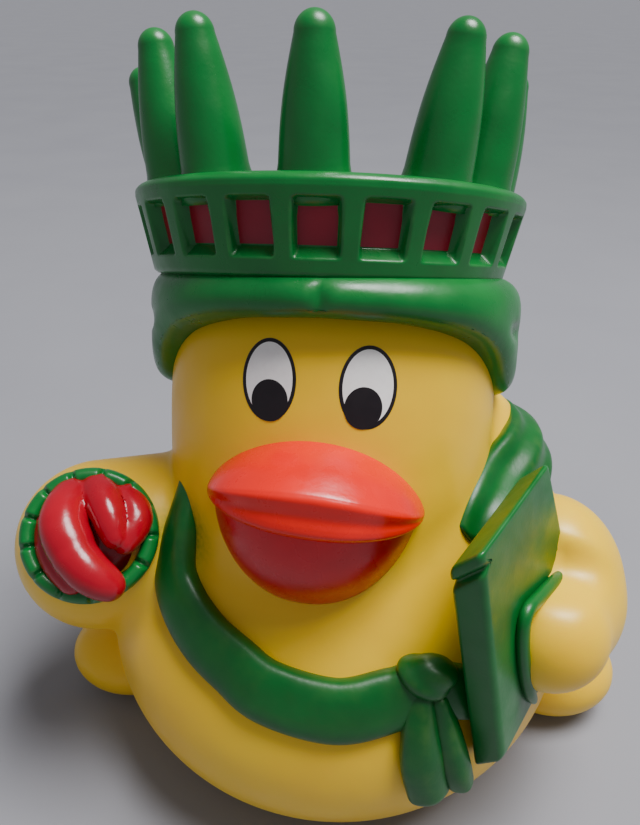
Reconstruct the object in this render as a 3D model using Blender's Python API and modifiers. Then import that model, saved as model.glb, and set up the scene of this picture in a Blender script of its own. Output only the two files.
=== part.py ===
"""Rubber duck with a rayed crown, a torch, a tablet and a sash: one hollow vinyl moulding.

Metres, +Z up. The duck faces -Y and stands on z = 0. Run with
blender --background --python part.py, or from Blender's text editor.
"""
import math

import bmesh
import bpy
from mathutils import Matrix, Vector

# Moulding
WALL = 0.0024
BASE_WALL = 0.0026
VENT_RADIUS = 0.0015
VENT_BACK = 0.0120
BLOCK_SPAN = 0.3
BLOCK_DEPTH = 0.05
SKIN_VOXEL = 0.0010
SKIN_SMOOTH = 10
SKIN_FACES = 0.078
HOLLOW_VOXEL = 0.0020
HOLLOW_SMOOTH = 4
HOLLOW_FACES = 0.06

# Body: a belly, a chest that narrows to the neck, a tail and two feet
BELLY_HALF_WIDTH = 0.0355
BELLY_HALF_DEPTH = 0.0362
BELLY_HALF_HEIGHT = 0.0250
BELLY_HEIGHT = 0.0165
BELLY_FRONT = 0.0012
CHEST_HALF_WIDTH = 0.0260
CHEST_HALF_DEPTH = 0.0250
CHEST_HALF_HEIGHT = 0.0220
CHEST_HEIGHT = 0.0330
CHEST_BACK = 0.0005
TAIL_RADIUS = 0.0105
TAIL_HALF_WIDTH = 0.0126
TAIL_LENGTH = 0.0190
TAIL_BACK = 0.0330
TAIL_HEIGHT = 0.0300
TAIL_RISE = math.radians(48)
FOOT_HALF_WIDTH = 0.0102
FOOT_HALF_DEPTH = 0.0084
FOOT_HALF_HEIGHT = 0.0066
FOOT_HEIGHT = 0.0060
LEFT_FOOT_SIDE = -0.0337
LEFT_FOOT_FRONT = 0.0080
RIGHT_FOOT_SIDE = 0.0352
RIGHT_FOOT_FRONT = 0.0060

# Head: tilted back, with the crown on its axis
HEAD_TILT = math.radians(20.6)
HEAD_SIDE = -0.0018
HEAD_BACK = 0.0010
HEAD_HEIGHT = 0.0470
HEAD_RADIUS = 0.0228
HEAD_HALF_HEIGHT = 0.0250
HEAD_SQUARENESS = 3.0

# Hair: a rolled hood under the crown, open over the face
HAIR_RADIUS = 0.0254
HAIR_TOP = 0.0220
HAIR_BOTTOM = -0.0190
HAIR_LINE_FRONT = 0.0168
HAIR_LINE_SLOPE = math.radians(20)
HAIR_VOXEL = 0.0008
HAIR_SMOOTH = 24
HAIR_FACES = 0.026
PARTING_WIDTH = 0.0012
PARTING_LENGTH = 0.0070

# Crown: a flared band with windows, and seven blunt rays
CROWN_HEIGHT = 0.0305
CROWN_SIDE = -0.0012
BAND_TOP_RADIUS = 0.0260
BAND_BOTTOM_RADIUS = 0.0238
BAND_HEIGHT = 0.0087
BAND_LIP = 0.0010
DOME_RISE = 0.0012
WINDOW_COUNT = 21
WINDOW_WIDTH = 0.0046
WINDOW_HEIGHT = 0.0050
WINDOW_DEPTH = 0.0015
WINDOW_TOP = 0.0013
RAY_BASE_CIRCLE = 0.0207
RAY_BASE_RADIUS = 0.0039
RAY_TIP_RADIUS = 0.0022
RAY_FILLET = 0.0010
RAYS = (
    # turn about the crown in degrees, tip circle radius, tip height
    (-2, 0.0240, 0.0138),
    (-36, 0.0240, 0.0149),
    (38, 0.0240, 0.0149),
    (-62, 0.0236, 0.0158),
    (62, 0.0236, 0.0158),
    (-93, 0.0262, 0.0148),
    (93, 0.0236, 0.0150),
)

# Bill, in the head's own axes: side, forward, up
BILL_SIDE = -0.0007
BILL_HALF_WIDTH = 0.0134
UPPER_BILL_FORWARD = 0.0178
UPPER_BILL_REACH = 0.0132
UPPER_BILL_RISE = 0.0084
UPPER_BILL_UNDER = 0.12
MOUTH_HEIGHT = -0.0053
LOWER_BILL_FORWARD = 0.0170
LOWER_BILL_REACH = 0.0113
LOWER_BILL_DROP = 0.0138
LOWER_BILL_HALF_WIDTH = 0.0130
LOWER_BILL_OVER = 0.2

# Raised wing with the torch
TORCH_PLACE = Vector((-0.0318, -0.0189, 0.0413))
TORCH_AXIS = Vector((0.18, -0.66, 0.73)).normalized()
TORCH_RADIUS = 0.0088
TORCH_FOOT_RADIUS = 0.0045
TORCH_HEIGHT = 0.0080
TORCH_RIM = 0.0013
TORCH_HOLLOW = 0.0022
TORCH_NOTCHES = 14
NOTCH_RADIUS = 0.0007
FLAME_VOXEL = 0.0004
FLAME_SMOOTH = 2
FLAME_FACES = 0.05
FLAME_LENGTH = 0.0066
FLAME_RADIUS = 0.0045
FLAME_SPREAD = 0.0029
FLAME_LOBES = ((100, 20, 1.0), (200, 35, 0.85), (330, 30, 0.95), (20, 8, 0.8))
HAND_RADIUS = 0.0122
HAND_BEHIND = 0.0131
SHOULDER_PLACE = Vector((-0.0200, -0.0060, 0.0325))
SHOULDER_RADIUS = 0.0115

# Wing that holds the tablet
WING_PLACE = Vector((0.0290, -0.0122, 0.0298))
WING_HALF_WIDTH = 0.0105
WING_HALF_DEPTH = 0.0117
WING_HALF_HEIGHT = 0.0142
WING_TIP_ROOT = Vector((0.0326, -0.0155, 0.0301))
WING_TIP_ROOT_RADIUS = 0.0072
WING_TIP_PLACE = Vector((0.0272, -0.0229, 0.0332))
WING_TIP_RADIUS = 0.0074

# Tablet: a plain slab between the wing and the chest
TABLET_PLACE = Vector((0.0215, -0.0251, 0.0376))
TABLET_THICKNESS = 0.0042
TABLET_WIDTH = 0.0184
TABLET_FLARE = 0.0085
TABLET_HEIGHT = 0.0305
TABLET_END_SLANT = 0.85
TABLET_YAW = math.radians(-32)
TABLET_LEAN = math.radians(-12)
TABLET_PITCH = math.radians(2)
TABLET_EDGE = 0.0008

# Right shoulder, which carries the drape
RIGHT_SHOULDER_PLACE = Vector((0.0165, 0.0060, 0.0400))
RIGHT_SHOULDER_RADIUS = 0.0118
UPPER_WING_PLACE = Vector((0.0268, -0.0040, 0.0335))
UPPER_WING_RADIUS = 0.0088

# Sash: a padded band round the body, through points set by hand on the skin
CLOTH_VOXEL = 0.0006
CLOTH_SMOOTH = 5
CLOTH_FACES = 0.045
SASH_HALF_WIDTH = 0.0039
SASH_NECK_HALF_WIDTH = 0.0020
SASH_NECK_AT = 0.47
SASH_NECK_SPREAD = 0.10
SASH_HALF_THICKNESS = 0.0019
SASH_CENTRE = Vector((0, -0.0040, 0.0140))
SASH_ROUTE = (
    Vector((0.0118, -0.0305, 0.0305)),
    Vector((0.0078, -0.0318, 0.0296)),
    Vector((0.0011, -0.0334, 0.0289)),
    Vector((-0.0071, -0.0320, 0.0296)),
    Vector((-0.0119, -0.0292, 0.0308)),
    Vector((-0.0158, -0.0263, 0.0317)),
    Vector((-0.0190, -0.0227, 0.0329)),
    Vector((-0.0209, -0.0195, 0.0349)),
    Vector((-0.0210, -0.0170, 0.0382)),
    Vector((-0.0200, -0.0146, 0.0420)),
    Vector((-0.0193, -0.0105, 0.0453)),
    Vector((-0.0198, -0.0020, 0.0472)),
    Vector((-0.0205, 0.0080, 0.0465)),
    Vector((-0.0135, 0.0190, 0.0430)),
    Vector((-0.0010, 0.0245, 0.0390)),
    Vector((0.0150, 0.0250, 0.0340)),
    Vector((0.0265, 0.0190, 0.0290)),
    Vector((0.0335, 0.0060, 0.0250)),
    Vector((0.0320, -0.0100, 0.0245)),
    Vector((0.0260, -0.0215, 0.0250)),
    Vector((0.0185, -0.0285, 0.0280)),
)

# Knot and its two hanging tails
KNOT_PLACE = Vector((0.0122, -0.0322, 0.0302))
KNOT_HALF_WIDTH = 0.0040
KNOT_HALF_DEPTH = 0.0030
KNOT_HALF_HEIGHT = 0.0030
TAIL_END_HALF_WIDTH = 0.0036
TAIL_END_HALF_THICKNESS = 0.0022
SASH_TAILS = (
    (Vector((0.0120, -0.0320, 0.0290)), Vector((0.0110, -0.0342, 0.0235)), Vector((0.0122, -0.0345, 0.0140))),
    (Vector((0.0130, -0.0315, 0.0290)), Vector((0.0158, -0.0318, 0.0230)), Vector((0.0156, -0.0325, 0.0155))),
)

# Drape over the right shoulder: one cloth with folds along it
DRAPE_HALF_THICKNESS = 0.0017
DRAPE_HALF_WIDTH = 0.0058
DRAPE_FOLDS = 2
DRAPE_FOLD_RISE = 0.0005
DRAPE_CENTRE = Vector((0.0120, 0.0030, 0.0300))
DRAPE_ROUTE = (
    Vector((0.0135, 0.0205, 0.0395)),
    Vector((0.0210, 0.0165, 0.0420)),
    Vector((0.0263, 0.0110, 0.0430)),
    Vector((0.0273, 0.0040, 0.0443)),
    Vector((0.0256, -0.0017, 0.0445)),
    Vector((0.0229, -0.0068, 0.0433)),
    Vector((0.0205, -0.0125, 0.0420)),
    Vector((0.0185, -0.0160, 0.0395)),
)


def place(side, forward, up):
    """A point in the head's own axes, as a world position."""
    return head_matrix() @ Vector((side, -forward, up))


def head_matrix():
    """Place and tilt of the head: its +Z runs up through the crown, its -Y out of the bill."""
    centre = Vector((HEAD_SIDE, HEAD_BACK, HEAD_HEIGHT))
    return Matrix.Translation(centre) @ Matrix.Rotation(-HEAD_TILT, 4, "X")


def crown_matrix():
    """Centre of the crown band's top circle, on the head's axis."""
    return head_matrix() @ Matrix.Translation((CROWN_SIDE, 0, CROWN_HEIGHT))


def clear_scene():
    """Removes all objects, so that the script can be run again."""
    for thing in list(bpy.data.objects):
        bpy.data.objects.remove(thing, do_unlink=True)


def new_collection(name):
    """A collection of its own, linked to the scene."""
    group = bpy.data.collections.new(name)
    bpy.context.scene.collection.children.link(group)
    return group


def vinyl(name, colour, roughness):
    """Painted or self-coloured soft vinyl."""
    material = bpy.data.materials.new(name)
    material.use_nodes = True
    shader = material.node_tree.nodes["Principled BSDF"]
    shader.inputs["Base Color"].default_value = (*colour, 1)
    shader.inputs["Roughness"].default_value = roughness
    shader.inputs["Metallic"].default_value = 0
    material.diffuse_color = (*colour, 1)
    return material


def mesh_object(name, shape, group, material):
    """An object made from a bmesh, with one material."""
    mesh = bpy.data.meshes.new(name)
    bmesh.ops.recalc_face_normals(shape, faces=shape.faces)
    shape.to_mesh(mesh)
    shape.free()
    thing = bpy.data.objects.new(name, mesh)
    thing.data.materials.append(material)
    group.objects.link(thing)
    return thing


def as_cutter(thing):
    """Marks a form that only feeds a boolean, so that it shows as wire and doesn't render."""
    thing.hide_render = True
    thing.display_type = "WIRE"
    return thing


def add_ellipsoid(shape, centre, radii, turn=None, segments=40, rings=24):
    """A ball stretched to three half-sizes, optionally turned, added to the shape."""
    size = Matrix.Diagonal((*radii, 1))
    turn = turn or Matrix.Identity(4)
    matrix = Matrix.Translation(centre) @ turn @ size
    return bmesh.ops.create_uvsphere(shape, u_segments=segments, v_segments=rings, radius=1, matrix=matrix)


def add_turned(shape, profile, matrix, segments):
    """A closed turned solid: a profile of (radius, height) from axis to axis, spun about Z."""
    rings = []
    for radius, height in profile:
        if radius == 0:
            rings.append([shape.verts.new(matrix @ Vector((0, 0, height)))])
            continue
        ring = []
        for step in range(segments):
            angle = 2 * math.pi * step / segments
            point = Vector((radius * math.cos(angle), radius * math.sin(angle), height))
            ring.append(shape.verts.new(matrix @ point))
        rings.append(ring)
    for lower, upper in zip(rings, rings[1:]):
        for step in range(segments):
            after = (step + 1) % segments
            if len(lower) == 1:
                shape.faces.new((lower[0], upper[after], upper[step]))
            elif len(upper) == 1:
                shape.faces.new((lower[step], lower[after], upper[0]))
            else:
                shape.faces.new((lower[step], lower[after], upper[after], upper[step]))


def align(direction):
    """Rotation that carries +Z onto a direction."""
    return Vector((0, 0, 1)).rotation_difference(direction).to_matrix().to_4x4()


def add_limb(shape, start, end, start_radius, end_radius, segments=32):
    """A round limb between two balls, for the soft skin."""
    add_ellipsoid(shape, start, (start_radius,) * 3)
    add_ellipsoid(shape, end, (end_radius,) * 3)
    run = end - start
    matrix = Matrix.Translation((start + end) / 2) @ align(run.normalized())
    bmesh.ops.create_cone(shape, cap_ends=True, segments=segments, radius1=start_radius,
                          radius2=end_radius, depth=run.length, matrix=matrix)


def head_profile(inset):
    """Turned outline of the head: a squarish oval, drawn in by an inset."""
    steps = 16
    radius = HEAD_RADIUS - inset
    half = HEAD_HALF_HEIGHT - inset
    power = 2 / HEAD_SQUARENESS
    points = []
    for step in range(steps + 1):
        angle = math.pi * step / steps - math.pi / 2
        across = 0 if step in (0, steps) else radius * math.cos(angle) ** power
        along = half * math.copysign(abs(math.sin(angle)) ** power, math.sin(angle))
        points.append((across, along))
    return points


def hand_place():
    """Middle of the ball of the hand, straight behind the torch."""
    return TORCH_PLACE - TORCH_AXIS * HAND_BEHIND


def add_body_forms(shape, inset):
    """Belly, chest and head, drawn in by an inset: none for the skin, the wall for the hollow."""
    add_ellipsoid(shape, Vector((0, -BELLY_FRONT, BELLY_HEIGHT)),
                  (BELLY_HALF_WIDTH - inset, BELLY_HALF_DEPTH - inset, BELLY_HALF_HEIGHT - inset))
    add_ellipsoid(shape, Vector((0, CHEST_BACK, CHEST_HEIGHT)),
                  (CHEST_HALF_WIDTH - inset, CHEST_HALF_DEPTH - inset, CHEST_HALF_HEIGHT - inset))
    add_turned(shape, head_profile(inset), head_matrix(), 40)


def add_skin_forms(shape):
    """What the yellow skin has beside the body: tail, feet, raised wing and holding wing."""
    tail = Vector((0, math.cos(TAIL_RISE), math.sin(TAIL_RISE)))
    add_ellipsoid(shape, Vector((0, TAIL_BACK, TAIL_HEIGHT)),
                  (TAIL_HALF_WIDTH, TAIL_RADIUS, TAIL_LENGTH), align(tail))
    for side, front in ((LEFT_FOOT_SIDE, LEFT_FOOT_FRONT), (RIGHT_FOOT_SIDE, RIGHT_FOOT_FRONT)):
        add_ellipsoid(shape, Vector((side, -front, FOOT_HEIGHT)),
                      (FOOT_HALF_WIDTH, FOOT_HALF_DEPTH, FOOT_HALF_HEIGHT))
    add_limb(shape, SHOULDER_PLACE, hand_place(), SHOULDER_RADIUS, HAND_RADIUS)
    add_limb(shape, RIGHT_SHOULDER_PLACE, UPPER_WING_PLACE, RIGHT_SHOULDER_RADIUS, UPPER_WING_RADIUS)
    add_ellipsoid(shape, WING_PLACE, (WING_HALF_WIDTH, WING_HALF_DEPTH, WING_HALF_HEIGHT))
    add_limb(shape, WING_TIP_ROOT, WING_TIP_PLACE, WING_TIP_ROOT_RADIUS, WING_TIP_RADIUS)


def soft_mesh(thing, voxel, rounds, keep):
    """Melts overlapping forms into one smooth skin, as the sculpted master of a moulding is."""
    remesh = thing.modifiers.new("melt", "REMESH")
    remesh.mode = "VOXEL"
    remesh.voxel_size = voxel
    smooth = thing.modifiers.new("soften", "SMOOTH")
    smooth.factor = 0.5
    smooth.iterations = rounds
    thin = thing.modifiers.new("thin", "DECIMATE")
    thin.ratio = keep


def cut(thing, tool, operation="DIFFERENCE"):
    """Joins or cuts one form with another, keeping each form's own paint."""
    step = thing.modifiers.new(tool.name, "BOOLEAN")
    step.object = tool
    step.operation = operation
    step.solver = "EXACT"
    step.material_mode = "TRANSFER"


def skin(group, material):
    """The yellow skin: body, head, tail, feet and both wings, melted together."""
    shape = bmesh.new()
    add_body_forms(shape, 0)
    add_skin_forms(shape)
    thing = mesh_object("duck", shape, group, material)
    soft_mesh(thing, SKIN_VOXEL, SKIN_SMOOTH, SKIN_FACES)
    return thing


def ground(group, material):
    """Block that takes away all below the floor, so that the base is flat."""
    shape = bmesh.new()
    bmesh.ops.create_cube(shape, size=1, matrix=Matrix.Translation((0, 0, -BLOCK_DEPTH / 2))
                          @ Matrix.Diagonal((BLOCK_SPAN, BLOCK_SPAN, BLOCK_DEPTH, 1)))
    return as_cutter(mesh_object("ground", shape, group, material))


def hollow(group, material):
    """Space inside the moulding, one wall in from the skin."""
    shape = bmesh.new()
    add_body_forms(shape, WALL)
    thing = as_cutter(mesh_object("hollow", shape, group, material))
    soft_mesh(thing, HOLLOW_VOXEL, HOLLOW_SMOOTH, HOLLOW_FACES)
    return thing


def hollow_floor(group, material):
    """Block that keeps the hollow one base wall above the floor."""
    shape = bmesh.new()
    bmesh.ops.create_cube(shape, size=1, matrix=Matrix.Translation((0, 0, BASE_WALL - BLOCK_DEPTH / 2))
                          @ Matrix.Diagonal((BLOCK_SPAN, BLOCK_SPAN, BLOCK_DEPTH, 1)))
    return as_cutter(mesh_object("hollow_floor", shape, group, material))


def vent(group, material):
    """Air hole through the base, where the moulding was emptied."""
    shape = bmesh.new()
    matrix = Matrix.Translation((0, VENT_BACK, BASE_WALL / 2))
    bmesh.ops.create_cone(shape, cap_ends=True, segments=16, radius1=VENT_RADIUS, radius2=VENT_RADIUS,
                          depth=BASE_WALL * 3, matrix=matrix)
    return as_cutter(mesh_object("vent", shape, group, material))


def hair(group, material):
    """Rolled hood of hair: a turned cap, cut by a slanting plane that frees the face."""
    shape = bmesh.new()
    profile = [
        (0, HAIR_BOTTOM),
        (HAIR_RADIUS * 0.72, HAIR_BOTTOM + 0.0020),
        (HAIR_RADIUS * 0.93, HAIR_BOTTOM + 0.0090),
        (HAIR_RADIUS * 0.99, HAIR_BOTTOM + 0.0180),
        (HAIR_RADIUS, HAIR_BOTTOM + 0.0260),
        (HAIR_RADIUS, HAIR_TOP - 0.0055),
        (HAIR_RADIUS * 0.985, HAIR_TOP - 0.0030),
        (HAIR_RADIUS * 0.95, HAIR_TOP - 0.0010),
        (HAIR_RADIUS * 0.90, HAIR_TOP),
        (0, HAIR_TOP),
    ]
    add_turned(shape, profile, head_matrix(), 56)
    plane = head_matrix() @ Matrix.Translation((0, -HEAD_RADIUS, HAIR_LINE_FRONT))
    plane = plane @ Matrix.Rotation(-HAIR_LINE_SLOPE, 4, "X")
    geometry = shape.verts[:] + shape.edges[:] + shape.faces[:]
    sliced = bmesh.ops.bisect_plane(shape, geom=geometry, plane_co=plane.translation,
                                    plane_no=plane.to_3x3() @ Vector((0, 0, -1)), clear_outer=True)
    rim = [item for item in sliced["geom_cut"] if isinstance(item, bmesh.types.BMEdge)]
    bmesh.ops.edgeloop_fill(shape, edges=rim)
    thing = as_cutter(mesh_object("hair", shape, group, material))
    soft_mesh(thing, HAIR_VOXEL, HAIR_SMOOTH, HAIR_FACES)
    return thing


def parting(group, material):
    """Groove down the front of the hair."""
    shape = bmesh.new()
    place_at = head_matrix() @ Matrix.Translation((BILL_SIDE, -HAIR_RADIUS, HAIR_TOP))
    bmesh.ops.create_cube(shape, size=1, matrix=place_at @ Matrix.Rotation(math.radians(45), 4, "Z")
                          @ Matrix.Diagonal((PARTING_WIDTH, PARTING_WIDTH, PARTING_LENGTH * 2, 1)))
    return as_cutter(mesh_object("parting", shape, group, material))


def band(group, material):
    """Crown band: a flared ring with a rounded lip, closed by a low dome."""
    shape = bmesh.new()
    flare = (BAND_TOP_RADIUS - BAND_BOTTOM_RADIUS) / BAND_HEIGHT
    under = -BAND_HEIGHT - BAND_LIP
    profile = [
        (0, under),
        (BAND_BOTTOM_RADIUS - BAND_LIP, under),
        (BAND_BOTTOM_RADIUS, -BAND_HEIGHT),
        (BAND_BOTTOM_RADIUS + BAND_LIP * flare, -BAND_HEIGHT + BAND_LIP),
        (BAND_TOP_RADIUS - BAND_LIP * flare, -BAND_LIP),
        (BAND_TOP_RADIUS, 0),
        (BAND_TOP_RADIUS - BAND_LIP * 0.4, BAND_LIP * 0.8),
        (BAND_TOP_RADIUS - BAND_LIP * 1.6, BAND_LIP * 1.2),
        (BAND_TOP_RADIUS * 0.72, BAND_LIP * 1.2),
        (BAND_TOP_RADIUS * 0.40, BAND_LIP + DOME_RISE * 0.8),
        (0, BAND_LIP + DOME_RISE),
    ]
    add_turned(shape, profile, crown_matrix(), WINDOW_COUNT * 2)
    return as_cutter(mesh_object("crown_band", shape, group, material))


def windows(group, material):
    """Ring of shallow window recesses, sunk square to the flared band."""
    shape = bmesh.new()
    flare = math.atan2(BAND_TOP_RADIUS - BAND_BOTTOM_RADIUS, BAND_HEIGHT)
    middle = WINDOW_TOP + WINDOW_HEIGHT / 2
    radius = BAND_TOP_RADIUS - middle * math.tan(flare)
    for step in range(WINDOW_COUNT):
        around = Matrix.Rotation(2 * math.pi * step / WINDOW_COUNT, 4, "Z")
        seat = crown_matrix() @ around @ Matrix.Translation((0, -radius, -middle))
        seat = seat @ Matrix.Rotation(flare, 4, "X")
        size = Matrix.Diagonal((WINDOW_WIDTH, WINDOW_DEPTH * 2, WINDOW_HEIGHT, 1))
        bmesh.ops.create_cube(shape, size=1, matrix=seat @ size)
    return as_cutter(mesh_object("windows", shape, group, material))


def ray_profile(length):
    """Outline of one ray: a fillet at the foot, a slight taper and a round tip."""
    points = [
        (0, -RAY_FILLET * 2),
        (RAY_BASE_RADIUS + RAY_FILLET, -RAY_FILLET * 2),
        (RAY_BASE_RADIUS + RAY_FILLET, 0),
        (RAY_BASE_RADIUS + RAY_FILLET * 0.3, RAY_FILLET * 0.7),
        (RAY_BASE_RADIUS, RAY_FILLET * 1.8),
    ]
    for degrees in (0, 30, 60):
        turn = math.radians(degrees)
        points.append((RAY_TIP_RADIUS * math.cos(turn), length + RAY_TIP_RADIUS * math.sin(turn)))
    points.append((0, length + RAY_TIP_RADIUS))
    return points


def rays(group, material):
    """Seven blunt rays that lean out from the band, each a turned cone with a round tip."""
    things = []
    for number, (angle, tip_circle, tip_height) in enumerate(RAYS):
        out = tip_circle - RAY_BASE_CIRCLE
        around = Matrix.Rotation(math.radians(angle), 4, "Z")
        seat = crown_matrix() @ around @ Matrix.Translation((0, -RAY_BASE_CIRCLE, BAND_LIP))
        seat = seat @ Matrix.Rotation(math.atan2(out, tip_height), 4, "X")
        shape = bmesh.new()
        add_turned(shape, ray_profile(math.hypot(out, tip_height)), seat, 14)
        things.append(as_cutter(mesh_object(f"ray_{number + 1}", shape, group, material)))
    return things


def squash(geometry, matrix, below, above=1.0):
    """Flattens a ball's lower or upper half towards its own middle plane."""
    back = matrix.inverted()
    for vert in geometry["verts"]:
        point = back @ vert.co
        point.z *= below if point.z < 0 else above
        vert.co = matrix @ point


def upper_bill(group, material):
    """Broad upper bill: half a flattened ball over the mouth line."""
    shape = bmesh.new()
    centre = place(BILL_SIDE, UPPER_BILL_FORWARD, MOUTH_HEIGHT)
    turn = head_matrix().to_3x3().to_4x4()
    ball = add_ellipsoid(shape, centre, (BILL_HALF_WIDTH, UPPER_BILL_REACH, UPPER_BILL_RISE), turn, 28, 12)
    squash(ball, Matrix.Translation(centre) @ turn, UPPER_BILL_UNDER)
    return as_cutter(mesh_object("upper_bill", shape, group, material))


def lower_bill(group, material):
    """Bowl of the lower bill, under the mouth line."""
    shape = bmesh.new()
    centre = place(BILL_SIDE, LOWER_BILL_FORWARD, MOUTH_HEIGHT)
    turn = head_matrix().to_3x3().to_4x4()
    ball = add_ellipsoid(shape, centre, (LOWER_BILL_HALF_WIDTH, LOWER_BILL_REACH, LOWER_BILL_DROP), turn, 24, 12)
    squash(ball, Matrix.Translation(centre) @ turn, 1.0, LOWER_BILL_OVER)
    return as_cutter(mesh_object("lower_bill", shape, group, material))


def tablet(group, material):
    """Plain slab with softened edges, wider at its foot and slanted at its ends."""
    shape = bmesh.new()
    turn = Matrix.Rotation(TABLET_YAW, 4, "Z") @ Matrix.Rotation(TABLET_LEAN, 4, "Y")
    turn = turn @ Matrix.Rotation(TABLET_PITCH, 4, "X")
    size = Matrix.Diagonal((TABLET_THICKNESS, TABLET_WIDTH, TABLET_HEIGHT, 1))
    bmesh.ops.create_cube(shape, size=1, matrix=size)
    for vert in shape.verts:
        if vert.co.y > 0 and vert.co.z < 0:
            vert.co.y += TABLET_FLARE
        vert.co.z += TABLET_END_SLANT * vert.co.x
    shape.transform(Matrix.Translation(TABLET_PLACE) @ turn)
    bmesh.ops.bevel(shape, geom=shape.edges[:], offset=TABLET_EDGE, segments=2, profile=0.5, affect="EDGES")
    return as_cutter(mesh_object("tablet", shape, group, material))


def torch_matrix():
    """Centre of the cup's rim, with +Z up the torch."""
    return Matrix.Translation(TORCH_PLACE) @ align(TORCH_AXIS)


def torch_cup(group, material):
    """Turned cup with a rolled rim and a hollow for the flame."""
    shape = bmesh.new()
    profile = [
        (0, -TORCH_HEIGHT),
        (TORCH_FOOT_RADIUS, -TORCH_HEIGHT),
        (TORCH_FOOT_RADIUS * 1.25, -TORCH_HEIGHT * 0.7),
        (TORCH_RADIUS * 0.92, -TORCH_RIM * 2),
        (TORCH_RADIUS, -TORCH_RIM),
        (TORCH_RADIUS, -TORCH_RIM * 0.3),
        (TORCH_RADIUS - TORCH_RIM * 0.4, 0),
        (TORCH_RADIUS - TORCH_RIM, -TORCH_RIM * 0.3),
        (TORCH_RADIUS - TORCH_RIM * 1.6, -TORCH_HOLLOW),
        (0, -TORCH_HOLLOW),
    ]
    add_turned(shape, profile, torch_matrix(), TORCH_NOTCHES * 2)
    return as_cutter(mesh_object("torch_cup", shape, group, material))


def torch_notches(group, material):
    """Small round notches in the cup's rim."""
    shape = bmesh.new()
    for step in range(TORCH_NOTCHES):
        around = Matrix.Rotation(2 * math.pi * (step + 0.5) / TORCH_NOTCHES, 4, "Z")
        seat = torch_matrix() @ around @ Matrix.Translation((TORCH_RADIUS, 0, -TORCH_RIM * 0.5))
        bmesh.ops.create_cone(shape, cap_ends=True, segments=6, radius1=NOTCH_RADIUS, radius2=NOTCH_RADIUS,
                              depth=TORCH_RIM * 4, matrix=seat)
    return as_cutter(mesh_object("torch_notches", shape, group, material))


def flame(group, material):
    """Flame: curling lobes that lean over one another out of the cup, melted together."""
    shape = bmesh.new()
    for turn, lean, reach in FLAME_LOBES:
        around = torch_matrix() @ Matrix.Rotation(math.radians(turn), 4, "Z")
        seat = around @ Matrix.Translation((FLAME_SPREAD, 0, 0)) @ Matrix.Rotation(math.radians(lean), 4, "Y")
        add_ellipsoid(shape, seat.translation, (FLAME_RADIUS, FLAME_RADIUS * 0.8, FLAME_LENGTH * reach),
                      seat.to_3x3().to_4x4())
    thing = as_cutter(mesh_object("flame", shape, group, material))
    soft_mesh(thing, FLAME_VOXEL, FLAME_SMOOTH, FLAME_FACES)
    return thing


def along(points, share):
    """Point and direction on a smooth open curve through the points (Catmull-Rom), share 0 to 1."""
    last = len(points) - 1
    place_on = min(share * last, last - 1e-9)
    step = int(place_on)
    t = place_on - step
    b, c = points[step], points[step + 1]
    a = points[step - 1] if step else b * 2 - c
    d = points[step + 2] if step + 2 <= last else c * 2 - b
    spot = (b * 2 + (c - a) * t + (a * 2 - b * 5 + c * 4 - d) * t ** 2 + (b * 3 - a - c * 3 + d) * t ** 3) / 2
    run = ((c - a) + (a * 2 - b * 5 + c * 4 - d) * 2 * t + (b * 3 - a - c * 3 + d) * 3 * t ** 2) / 2
    return spot, run.normalized()


def add_band(shape, points, rings, sides, half_width, half_thickness, fold=(0, 0.0), closed=False,
             centre=SASH_CENTRE):
    """A padded band: an oval section that lies flat on the body, swept along a route.

    half_width is a function of the share of the route; fold is the number of folds and their rise;
    the band's upper side faces away from the centre.
    """
    route = [points[-1], *points, points[0], points[1]] if closed else list(points)
    first = 1 / (len(route) - 1) if closed else 0.0
    span = len(points) / (len(route) - 1) if closed else 1.0
    loops = []
    for ring in range(rings):
        share = ring / (rings if closed else rings - 1)
        spot, run = along(route, first + span * share)
        out = spot - centre
        out = (out - run * out.dot(run)).normalized()
        side = run.cross(out)
        loop = []
        for step in range(sides):
            angle = 2 * math.pi * step / sides
            across = math.cos(angle)
            rise = half_thickness * math.sin(angle)
            if rise > 0:
                rise += fold[1] * math.sin(angle) * math.cos(math.pi * across * fold[0])
            loop.append(shape.verts.new(spot + side * (half_width(share) * across) + out * rise))
        loops.append(loop)
    pairs = list(zip(loops, loops[1:]))
    if closed:
        pairs.append((loops[-1], loops[0]))
    else:
        shape.faces.new(loops[0])
        shape.faces.new(loops[-1])
    for lower, upper in pairs:
        for step in range(sides):
            after = (step + 1) % sides
            shape.faces.new((lower[step], lower[after], upper[after], upper[step]))


def sash_half_width(share):
    """Half width of the sash: full on the front, drawn in over the left shoulder beside the neck."""
    near = math.exp(-((share - SASH_NECK_AT) / SASH_NECK_SPREAD) ** 2)
    return SASH_HALF_WIDTH + (SASH_NECK_HALF_WIDTH - SASH_HALF_WIDTH) * near


def tail_half_width(share):
    """Half width of a sash tail: narrow at the knot, widest at three quarters, a little less at the end."""
    return TAIL_END_HALF_WIDTH * (0.55 + 0.75 * share - 0.5 * share ** 4)


def drape_half_width(share):
    """Half width of the drape: widest over the shoulder, narrower at both ends."""
    return DRAPE_HALF_WIDTH * (0.55 + 0.45 * math.sin(share * 2.4))


def add_sash(shape):
    """Band that runs round the body, under the raised wing and behind the tablet."""
    add_band(shape, SASH_ROUTE, 84, 12, sash_half_width, SASH_HALF_THICKNESS, closed=True)


def add_knot(shape):
    """Knot at the end of the sash, with two tails that hang from it and widen to blunt ends."""
    add_ellipsoid(shape, KNOT_PLACE, (KNOT_HALF_WIDTH, KNOT_HALF_DEPTH, KNOT_HALF_HEIGHT), None, 16, 10)
    for route in SASH_TAILS:
        add_band(shape, route, 12, 12, tail_half_width, TAIL_END_HALF_THICKNESS)


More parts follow.
